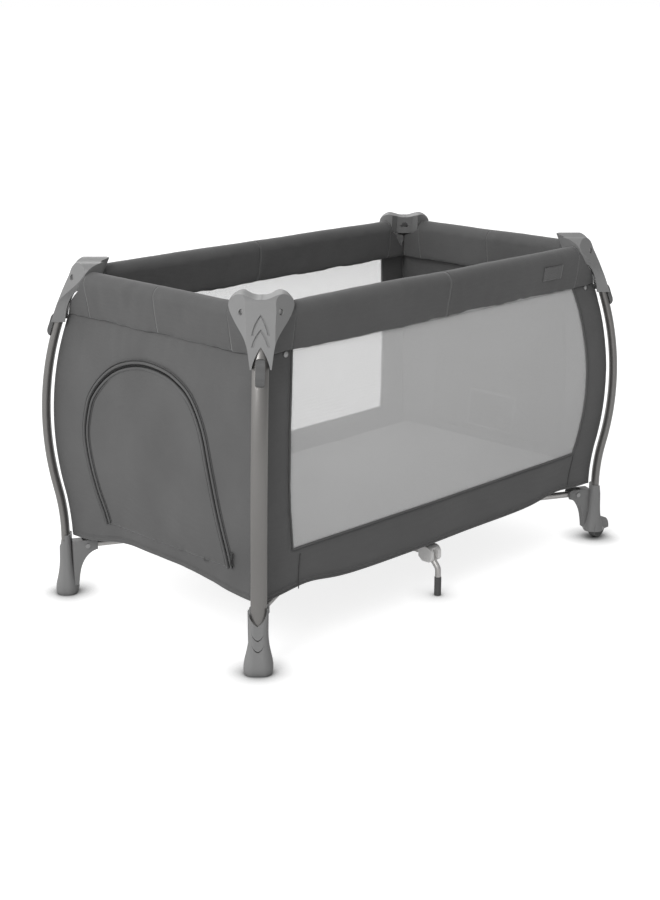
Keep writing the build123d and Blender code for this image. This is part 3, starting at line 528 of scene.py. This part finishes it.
def catmull(points, steps):
    """A smooth curve through points, for an open run."""
    pts = [Vector((*p, 0)) for p in points]
    pts = [2 * pts[0] - pts[1]] + pts + [2 * pts[-1] - pts[-2]]
    curve = []
    for a, b, c, d in zip(pts, pts[1:], pts[2:], pts[3:]):
        for k in range(steps):
            t = k / steps
            curve.append(0.5 * (2 * b + (c - a) * t + (2 * a - 5 * b + 4 * c - d) * t**2
                                + (3 * b - a - 3 * c + d) * t**3))
    curve.append(pts[-2])
    return [(p.x, p.y) for p in curve]


ARCH = catmull(DOOR_ARCH, 8)


def inside_arch(y, z):
    """Whether a point of the left wall lies in the doorway."""
    hit = False
    loop = ARCH
    for (y1, z1), (y2, z2) in zip(loop, loop[1:] + loop[:1]):
        if (z1 > z) != (z2 > z) and y < y1 + (z - z1) / (z2 - z1) * (y2 - y1):
            hit = not hit
    return hit


def end_grid(step=0.006):
    """Grid of (across, height) points over an end wall."""
    columns = int(round(2 * POST_Y / step))
    rows = int(round((SEAM_Z + 0.004 - HEM_Z) / step))
    grid = []
    for i in range(rows + 1):
        for j in range(columns + 1):
            v = i / rows
            u = 2 * j / columns - 1
            z = lerp(hem_of_end(u * wall_y(HEM_Z)), SEAM_Z + 0.004, v)
            grid.append([u * (wall_y(z) - 0.001), z])
    return grid, rows + 1, columns + 1


def snapped_to_arch(grid, reach):
    """Moves the grid points nearest the doorway's edge onto it."""
    line = np.array(ARCH + [ARCH[0]])
    fine = []
    for a, b in zip(line, line[1:]):
        count = max(2, int(np.hypot(*(b - a)) / 0.001))
        fine += [a + (b - a) * k / count for k in range(count)]
    fine = np.array(fine)
    for point in grid:
        gap = np.hypot(*(fine - point).T)
        nearest = gap.argmin()
        if gap[nearest] < reach:
            point[:] = fine[nearest]
    return grid


def end_wall(side, name, body):
    """An end wall of cloth; the left one is cut along the doorway, and its panel hangs on the door's hinge."""
    grid, rows, columns = end_grid()
    faces = grid_faces(rows, columns, flip=side < 0)
    if side > 0:
        verts = [end_point(side, y, z) for y, z in grid]
        wall = thicken(make(f"{name}_wall", verts, faces, BODY))
    else:
        grid = snapped_to_arch(grid, 0.0034)
        verts = [end_point(side, y, z) for y, z in grid]
        cloth, panel = [], []
        for face in faces:
            y = sum(grid[k][0] for k in face) / 4
            z = sum(grid[k][1] for k in face) / 4
            (panel if inside_arch(y, z) else cloth).append(face)
        wall = thicken(make(f"{name}_wall", verts, cloth, BODY))
        door = thicken(make("door_panel", verts, panel, BODY))
        drop_loose(door)
        drop_loose(wall)
        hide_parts("door_flap")
        folds_y(door, "door")
    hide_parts(f"{name}_side")
    folds_y(wall, body)


# ---------------------------------------------------------------- rail sleeves


def sleeve_profile(count=30):
    """Cross-section of a padded rail sleeve as (outward, up) from the rail's axis."""
    top = [(0.0240 * cos(a), -0.010 + 0.0235 * sin(a)) for a in np.linspace(-0.15, pi + 0.15, count)]
    low = SEAM_Z - RAIL_Z - 0.002
    inner = [(lerp(-0.0238, -0.014, t), lerp(-0.015, low + 0.004, t)) for t in (0.2, 0.4, 0.6, 0.8, 0.95)]
    bottom = [(-0.0115, low), (-0.004, low - 0.001), (0.004, low - 0.001), (0.0105, low)]
    outer = [(lerp(0.0125, 0.0238, t), lerp(low + 0.003, -0.015, t)) for t in (0.0, 0.2, 0.4, 0.6, 0.8)]
    return top + inner + bottom + outer


def sleeve_skin(name, side, spans, columns=70):
    """Skin of a rail sleeve; each profile point runs between its own two places along the rail."""
    centre, along, out, seed = side
    profile = sleeve_profile()
    verts = []
    for i in range(columns + 1):
        for (u, v), (first, last) in zip(profile, spans):
            place = centre + along * lerp(first, last, i / columns)
            p = place + out * u + UP * v
            puff = 0.0024 * ripple(*p, 0.09, seed) + 0.0014 * ripple(*p, 0.028, seed + 3)
            lift = 0.0022 * ripple(place.x, place.y, 0, 0.19, seed + 8) * smooth(-0.06, 0.0, v)
            width = 1 + puff / 0.024
            verts.append(place + out * (u * width) + UP * (v * (1 + puff / 0.06) + lift))
    faces = grid_faces(columns + 1, len(profile), closed=True)
    faces.append(tuple(range(len(profile)))[::-1])
    faces.append(tuple(columns * len(profile) + j for j in range(len(profile))))
    return make(name, verts, faces, BODY)


def tucked(out, z):
    """Where a sleeve's skin ends under the corner cap, measured back from the rails' crossing."""
    front = sqrt(2) * np.interp(z, *zip(*CAP_FRONT))
    if z < CAP_FLAT_Z:
        under = out - sqrt(2) * np.interp(z, *zip(*CAP_SKIRT))
        return max(0.0005 - out, min(under, front - out) + 0.003)
    return min(CAP_LOBE_BACK, front - out) + 0.0015


def rail_side(name):
    sx, sy = {"front": (0, -1), "back": (0, 1), "left": (-1, 0), "right": (1, 0)}[name]
    along = Vector((1, 0, 0)) if sx == 0 else Vector((0, 1, 0))
    centre = Vector((sx * RAIL_X, sy * RAIL_Y, RAIL_Z))
    return (centre, along, Vector((sx, sy, 0)), 3.0 * sx + 5.0 * sy), RAIL_X if sx == 0 else RAIL_Y


def rail_sleeves():
    """Padded sleeves: two halves along each rail, and the short ends that stay under the caps."""
    profile = sleeve_profile()
    for name in ("front", "back", "left", "right"):
        side, crossing = rail_side(name)
        centre, along = side[:2]
        for sign, half in zip((-1, 1), ("left", "right") if along.x else ("front", "back")):
            reach = sign * (crossing - SLEEVE_BACK)
            piece = sleeve_skin(f"sleeve_{name}_{half}", side, [(reach, 0.0)] * len(profile))
            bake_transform(piece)
            post = f"post_{name}_{half}" if along.x else f"post_{half}_{name}"
            ends = [(sign * (crossing - tucked(u, RAIL_Z + v)), reach) for u, v in profile]
            corner = sleeve_skin(f"sleeve_end_{name}_{half}", side, ends, columns=16)
            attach(corner, post)


# ---------------------------------------------------------------- mattress and floor


CORNER_R = 0.03                        # rounding of the mattress's corners in plan


def mattress():
    """Board mattress in a padded cover, hinged across at three seams."""
    low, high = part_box("mattress")
    half_x, half_y = (high.x - low.x) / 2 - 0.002, (high.y - low.y) / 2 - 0.002
    nx, ny = 120, 64
    thick = high.z - low.z - 0.002
    verts, faces = [], []

    def height(u, v):
        edge = min(1 - abs(u), (1 - abs(v)) * half_y / half_x) * half_x
        crown = sqrt(max(0.0, 1 - (1 - min(1, edge / 0.020)) ** 2))
        seams = 0.0
        for fold in (-0.5, 0.0, 0.5):
            seams += exp(-(((u - fold) * half_x / 0.006) ** 2))
        x, y = u * half_x, v * half_y
        puff = 0.0012 * ripple(x, y, 0, 0.12, 1) + 0.0006 * ripple(x, y, 0, 0.03, 2)
        return crown, seams, puff

    for top in (True, False):
        for j in range(ny + 1):
            for i in range(nx + 1):
                u, v = 2 * i / nx - 1, 2 * j / ny - 1
                u, v = sin(u * pi / 2) * 0.4 + u * 0.6, sin(v * pi / 2) * 0.4 + v * 0.6
                crown, seams, puff = height(u, v)
                over_x = max(0, abs(u) * half_x - half_x + CORNER_R)
                over_y = max(0, abs(v) * half_y - half_y + CORNER_R)
                corner = hypot(over_x, over_y)
                pull = min(1.0, CORNER_R / corner) if corner > CORNER_R else 1.0
                x = (1 if u > 0 else -1) * min(abs(u) * half_x, half_x - CORNER_R + over_x * pull)
                y = (1 if v > 0 else -1) * min(abs(v) * half_y, half_y - CORNER_R + over_y * pull)
                middle = low.z + thick / 2
                if top:
                    z = middle + (thick / 2 - 0.004) * crown + 0.003 + puff - 0.006 * min(1, seams)
                else:
                    z = middle - thick / 2 * crown
                verts.append((x, y, z))
    top_faces = grid_faces(ny + 1, nx + 1)
    offset = (nx + 1) * (ny + 1)
    faces = top_faces + [tuple(k + offset for k in f)[::-1] for f in top_faces]
    rim = [i for i in range(nx + 1)] + [j * (nx + 1) + nx for j in range(1, ny + 1)]
    rim += [ny * (nx + 1) + i for i in range(nx - 1, -1, -1)] + [j * (nx + 1) for j in range(ny - 1, 0, -1)]
    for a, b in zip(rim, rim[1:] + rim[:1]):
        faces.append((b, a, a + offset, b + offset))
    pad = make("mattress_pad", verts, faces, PAD)
    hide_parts("mattress")
    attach(pad, "mattress")
    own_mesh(pad)


def floor_cloth():
    """Cloth floor in four quarters, each carried by the base arm under it."""
    low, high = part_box("floor_sheet")
    half_x, half_y = high.x - 0.002, high.y - 0.002
    middle = (low.z + high.z) / 2
    for corner, (sx, sy) in CORNERS.items():
        verts = []
        nx, ny = 24, 14
        for j in range(ny + 1):
            for i in range(nx + 1):
                x, y = sx * half_x * i / nx, sy * half_y * j / ny
                verts.append((x, y, middle + 0.0005 * ripple(x, y, 0, 0.06)))
        panel = make(f"floor_panel_{corner}", verts, grid_faces(ny + 1, nx + 1), FLOOR_CLOTH)
        thicken(panel)
        if corner == "front_left":
            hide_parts("floor_sheet")
        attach(panel, f"arm_{corner}")
        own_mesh(panel)


# ---------------------------------------------------------------- zip, seams and small sewn parts


def offset_profile(shift, radius, flat=1.0, sides=8, lift=0.0):
    return [(u + shift, v + lift) for u, v in round_profile(radius, sides, flat)]


def zip_path(step=0.004):
    return evenly([end_point(-1, y, z, 0.0010) for y, z in ARCH], step)


def door_zip():
    """Zip round the doorway: tape, coil, rolled flap edges and their stitching."""
    path = zip_path()
    out = [Vector((-1, 0, 0))] * len(path)
    half, thick = 0.0095, 0.0007
    section = [(-half, 0.0), (half, 0.0), (half, thick), (-half, thick)]
    tape = sweep("zip_tape", path, out, section, ZIP_TAPE)
    folds_y(tape, "post_front_left")
    for name, shift, body in (("inner", 1, "door"), ("outer", -1, "post_front_left")):
        bead = sweep(f"zip_edge_{name}", path, out, offset_profile(shift * 0.0062, 0.0030, 0.85, 10, 0.0012), BODY)
        seam = [p + (b - a).normalized().cross(out[0]) * shift * 0.0125
                for p, a, b in zip(path[1:-1], path, path[2:])]
        cord = sweep(f"zip_piping_{name}", seam, out, offset_profile(0, 0.0014, 0.8), BINDING)
        thread = stitches(f"zip_stitches_{name}", [p + Vector((-0.0012, 0, 0)) for p in seam[::2]], out)
        for obj in (bead, cord, thread):
            folds_y(obj, body)
    coil = stitches("zip_coil", [p + Vector((-0.0012, 0, 0)) for p in path], out, ZIP_TAPE, 0.0024, 0.0016)
    folds_y(coil, "post_front_left")


def wall_line(side, across, z, out):
    """A point on the outside of a wall; side is one of the four names."""
    if side in ("front", "back"):
        sign = -1 if side == "front" else 1
        return Vector((across, sign * (wall_y(z) + long_wrinkle(across, z, 2.0 * sign) + out), z))
    return end_point(-1 if side == "left" else 1, across, z, CLOTH / 2 + out)



def sewn(obj, side):
    (folds_x if side in ("front", "back") else folds_y)(obj, WALL_BODY[side])
    return obj


def wall_seams(side):
    """Turned hem, its stitching, and the seam under the rail sleeve."""
    long = side in ("front", "back")
    reach = wall_x(HEM_Z) - 0.004 if long else wall_y(HEM_Z) - 0.004
    hem = hem_of_long if long else hem_of_end
    spread = np.linspace(-reach, reach, 160)
    out = OUT[side]
    edge = [wall_line(side, t, hem(t) + 0.001, -0.001) for t in spread]
    sewn(sweep(f"hem_edge_{side}", edge, [out] * len(edge), offset_profile(0, 0.0022, 0.9), BODY),
         side)
    for index, rise in enumerate((0.009, 0.0125)):
        line = [wall_line(side, t, hem(t) + rise, 0.0002) for t in spread]
        sewn(stitches(f"hem_stitches_{side}_{index}", line, [out]), side)
    top = SEAM_Z + 0.002
    reach = (wall_x(top) if long else wall_y(top)) - 0.003
    line = [wall_line(side, t, top, 0.0006) for t in np.linspace(-reach, reach, 140)]
    sewn(sweep(f"sleeve_seam_{side}", line, [out] * len(line), offset_profile(0, 0.0019, 0.8), BINDING), side)
    line = [wall_line(side, t, top - 0.007, 0.0002) for t in np.linspace(-reach, reach, 140)]
    sewn(stitches(f"sleeve_stitches_{side}", line, [out]), side)


def window_binding(side):
    """Rolled edge and stitching down both sides and along the sill of a mesh window."""
    rows = np.linspace(0, 1, 40)
    left = [(-window_side(v), lerp(WINDOW_LOW, WINDOW_HIGH, v)) for v in rows[::-1]]
    sill = [(x, WINDOW_LOW - 0.002 * cos(3 * x)) for x in np.linspace(-window_side(0), window_side(0), 90)[1:-1]]
    right = [(window_side(v), lerp(WINDOW_LOW, WINDOW_HIGH, v)) for v in rows]
    out = OUT[side]
    path = [wall_line(side, x, z, 0.0002) for x, z in left + sill + right]
    sewn(sweep(f"window_edge_{side}", path, [out] * len(path), offset_profile(0, 0.0024, 0.6), BODY), side)
    line = [(x - 0.007, z) for x, z in left] + [(x, z - 0.007) for x, z in sill] + [(x + 0.007, z) for x, z in right]
    sewn(stitches(f"window_stitches_{side}", [wall_line(side, x, z, 0.0003) for x, z in line], [out]), side)
    for index, (high, low) in enumerate((((-0.468, 0.230), (-0.468, 0.150)), ((0.499, 0.240), (0.488, 0.160)))):
        line = [wall_line(side, lerp(high[0], low[0], t), lerp(high[1], low[1], t), 0.0004)
                for t in np.linspace(0, 1, 20)]
        sewn(sweep(f"panel_seam_{side}_{index}", line, [out] * 20, offset_profile(0, 0.0013, 0.7), BINDING), side)


def snap(name, side, across, z):
    """Domed press stud with a rolled rim, sewn to a wall."""
    profile = [(0.0062, 0.0), (0.0064, 0.0010), (0.0058, 0.0018), (0.0050, 0.0016), (0.0044, 0.0022),
               (0.0025, 0.0030), (0.0006, 0.0033)]
    sewn(lathe(name, profile, wall_line(side, across, z, 0.0), OUT[side], RIVET, sides=24), side)


def patch(name, corners, point, material, lift=0.0, cells=(20, 8)):
    """A sewn-on piece of cloth between two opposite corners, laid on a surface given by point()."""
    (a0, z0), (a1, z1) = corners
    verts = [point(lerp(a0, a1, i / cells[0]), lerp(z0, z1, j / cells[1]), lift)
             for j in range(cells[1] + 1) for i in range(cells[0] + 1)]
    piece = thicken(make(name, verts, grid_faces(cells[1] + 1, cells[0] + 1), material), 0.0009)
    return piece


def small_sewn_parts():
    def on_sleeve(x, z, lift):
        v = z - RAIL_Z
        outer = lerp(0.0125, 0.0240, smooth(-0.085, -0.010, v))
        return Vector((x, -(RAIL_Y + outer + 0.0022 + 0.0008 * ripple(x, 0, z, 0.02) + lift), z))

    def inside_right(y, z, lift):
        return end_point(1, y, z, -0.0035 - lift)

    tag = patch("blank_tag", ((0.340, 0.704), (0.4125, 0.737)), on_sleeve, TAG)
    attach(tag, "rail_front_right")
    pocket = patch("inner_patch", ((-0.22, 0.215), (0.22, 0.600)), inside_right, PATCH,
                   cells=(44, 38))
    folds_y(pocket, "post_front_right")
    label = patch("blank_label", ((-0.072, 0.227), (0.087, 0.328)), inside_right, LINING,
                  0.0016)
    folds_y(label, "post_front_right")
    frame_of_label = [(-0.068, 0.231), (0.083, 0.231), (0.083, 0.324), (-0.068, 0.324)]
    path = evenly([inside_right(y, z, 0.0030) for y, z in frame_of_label], 0.004, closed=True)
    folds_y(sweep("label_edge", path, [Vector((-1, 0, 0))] * len(path), offset_profile(0, 0.0009, 0.7), LABEL,
                  closed=True), "post_front_right")
    rim = [(-0.216, 0.219), (0.216, 0.219), (0.216, 0.596), (-0.216, 0.596)]
    path = [inside_right(y, z, 0.0008) for y, z in rim + rim[:1]]
    folds_y(stitches("patch_stitches", evenly(path, 0.01), [Vector((-1, 0, 0))]), "post_front_right")
    snap("snap_left", "front", -0.4976, 0.664)
    snap("snap_right", "front", 0.5304, 0.664)


def cap_buttons():
    """Round domed button on the inner face of every corner cap."""
    profile = [(0.0072, -0.002), (0.0072, 0.0010), (0.0064, 0.0018), (0.0045, 0.0022), (0.0010, 0.0024)]
    for corner, (sx, sy) in CORNERS.items():
        inward = Vector((-sx, -sy, 0)).normalized()
        place = Vector((sx * RAIL_X, sy * RAIL_Y, 0.762)) + inward * 0.0552
        facing = (inward - UP * 0.40).normalized()
        button = lathe(f"cap_button_{corner}", profile, place, facing, CLIP, sides=32)
        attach(button, f"post_{corner}")


def slider():
    """Zip slider: waisted body, and a pull hanging from it."""
    low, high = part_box("zip_slider")
    middle = (low + high) / 2
    body = [(0.0016, -0.0070), (0.0034, -0.0060), (0.0040, -0.0030), (0.0030, 0.0), (0.0036, 0.0040),
            (0.0026, 0.0068)]
    top = Vector((middle.x, middle.y, high.z - 0.008))
    shell = lathe("zip_slider_body", body, top, (0, 0, 1), ZIP_METAL, sides=28)
    for vertex in shell.data.vertices:
        vertex.co.x = top.x + (vertex.co.x - top.x) * 0.55
    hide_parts("zip_slider")
    folds_y(shell, "post_front_left")
    loop = [Vector((top.x - 0.0012, top.y + 0.0030 * sin(a) * (1 - 0.2 * cos(a)), top.z - 0.0135 + 0.0105 * cos(a)))
            for a in np.linspace(0, 2 * pi, 37)[:-1]]
    pull = sweep("zip_pull", loop, [Vector((-1, 0, 0))] * 36, offset_profile(0, 0.0009), ZIP_METAL, closed=True)
    folds_y(pull, "post_front_left")


long_wall(-1, "front", "post_front_left")
long_wall(1, "back", "post_back_left")
end_wall(-1, "left", "post_front_left")
end_wall(1, "right", "post_front_right")
rail_sleeves()
mattress()
floor_cloth()
door_zip()
for wall_name in OUT:
    wall_seams(wall_name)
window_binding("front")
window_binding("back")
small_sewn_parts()
cap_buttons()
slider()

# ---------------------------------------------------------------- light, floor, camera


def studio():
    """White room: a floor darkened only close under things by painted contact shade (ambient occlusion in its colour
    and glow), a sky brighter from the left, three soft lights.
    """
    ground = Shader("studio_floor", Roughness=0.9, Specular_IOR_Level=0.1)
    # Painted contact shade: ambient occlusion darkens the floor's colour close under the feet and frame.
    painted_contact_shade_ao = ground.add("ShaderNodeAmbientOcclusion", {"Distance": 0.07}, samples=12).outputs["AO"]
    level = ground.math("POWER", painted_contact_shade_ao, 2.2)
    faint = ground.spread(ground.noise(2.0), 0.50, 0.53)
    shade = ground.math("MULTIPLY", faint, level)
    neutral = ground.add("ShaderNodeCombineColor", {key: shade for key in ("Red", "Green", "Blue")})
    ground.set("Base Color", neutral.outputs[0])
    ground.bsdf.inputs["Emission Color"].default_value = (1, 1, 1, 1)
    seen = ground.add("ShaderNodeLightPath").outputs["Is Camera Ray"]
    glow = ground.spread(seen, 0.22, 0.80)
    # The floor's glow is dimmed by the same painted contact shade.
    ground.set("Emission Strength", ground.math("MULTIPLY", level, glow))
    size = 90.0
    verts = [(-size, -size, 0), (size, -size, 0), (size, size, 0), (-size, size, 0)]
    floor = make("studio_floor", verts, [(0, 1, 2, 3)], ground.material)
    world = bpy.data.worlds.new("studio")
    bpy.context.scene.world = world
    world.use_nodes = True
    tree = world.node_tree
    tree.nodes["Background"].inputs[0].default_value = (1, 1, 1, 1)
    aim = tree.nodes.new("ShaderNodeVectorMath")
    aim.operation = "DOT_PRODUCT"
    aim.inputs[1].default_value = (-0.6, 0.75, 0.2)
    tree.links.new(tree.nodes.new("ShaderNodeTexCoord").outputs["Generated"], aim.inputs[0])
    sky = tree.nodes.new("ShaderNodeMapRange")
    tree.links.new(aim.outputs["Value"], sky.inputs["Value"])
    for key, value in (("From Min", -1.0), ("From Max", 1.0), ("To Min", 0.20), ("To Max", 1.05)):
        sky.inputs[key].default_value = value
    brightest = tree.nodes.new("ShaderNodeMath")
    brightest.operation = "MAXIMUM"
    tree.links.new(sky.outputs["Result"], brightest.inputs[0])
    tree.links.new(tree.nodes.new("ShaderNodeLightPath").outputs["Is Camera Ray"], brightest.inputs[1])
    tree.links.new(brightest.outputs["Value"], tree.nodes["Background"].inputs[1])
    for name, place, target, width, power in (
        ("key", (-4.2, -1.2, 3.4), (0, 0, 0.3), 2.2, 95),
        ("fill", (1.5, -5.0, 2.6), (0, 0, 0.4), 3.0, 4),
        ("rim", (2.5, 4.0, 3.6), (0, 0, 0.5), 2.5, 35),
    ):
        light = bpy.data.lights.new(name, "AREA")
        light.size = width
        light.energy = power
        obj = bpy.data.objects.new(name, light)
        obj.location = place
        obj.rotation_euler = (Vector(target) - Vector(place)).to_track_quat("-Z", "Y").to_euler()
        bpy.context.scene.collection.objects.link(obj)


def camera():
    """Stands where the picture was taken: near the front left corner, a little above the yard."""
    data = bpy.data.cameras.new("camera")
    data.lens = 62.93
    data.sensor_width = 36.0
    data.clip_end = 100
    obj = bpy.data.objects.new("camera", data)
    obj.location = (-2.652, -2.554, 1.379)
    forward = Vector((0.6851, 0.6712, -0.2832))
    obj.rotation_euler = forward.to_track_quat("-Z", "Y").to_euler()
    bpy.context.scene.collection.objects.link(obj)
    bpy.context.scene.camera = obj
    bpy.context.scene.view_settings.view_transform = "Standard"


studio()
camera()
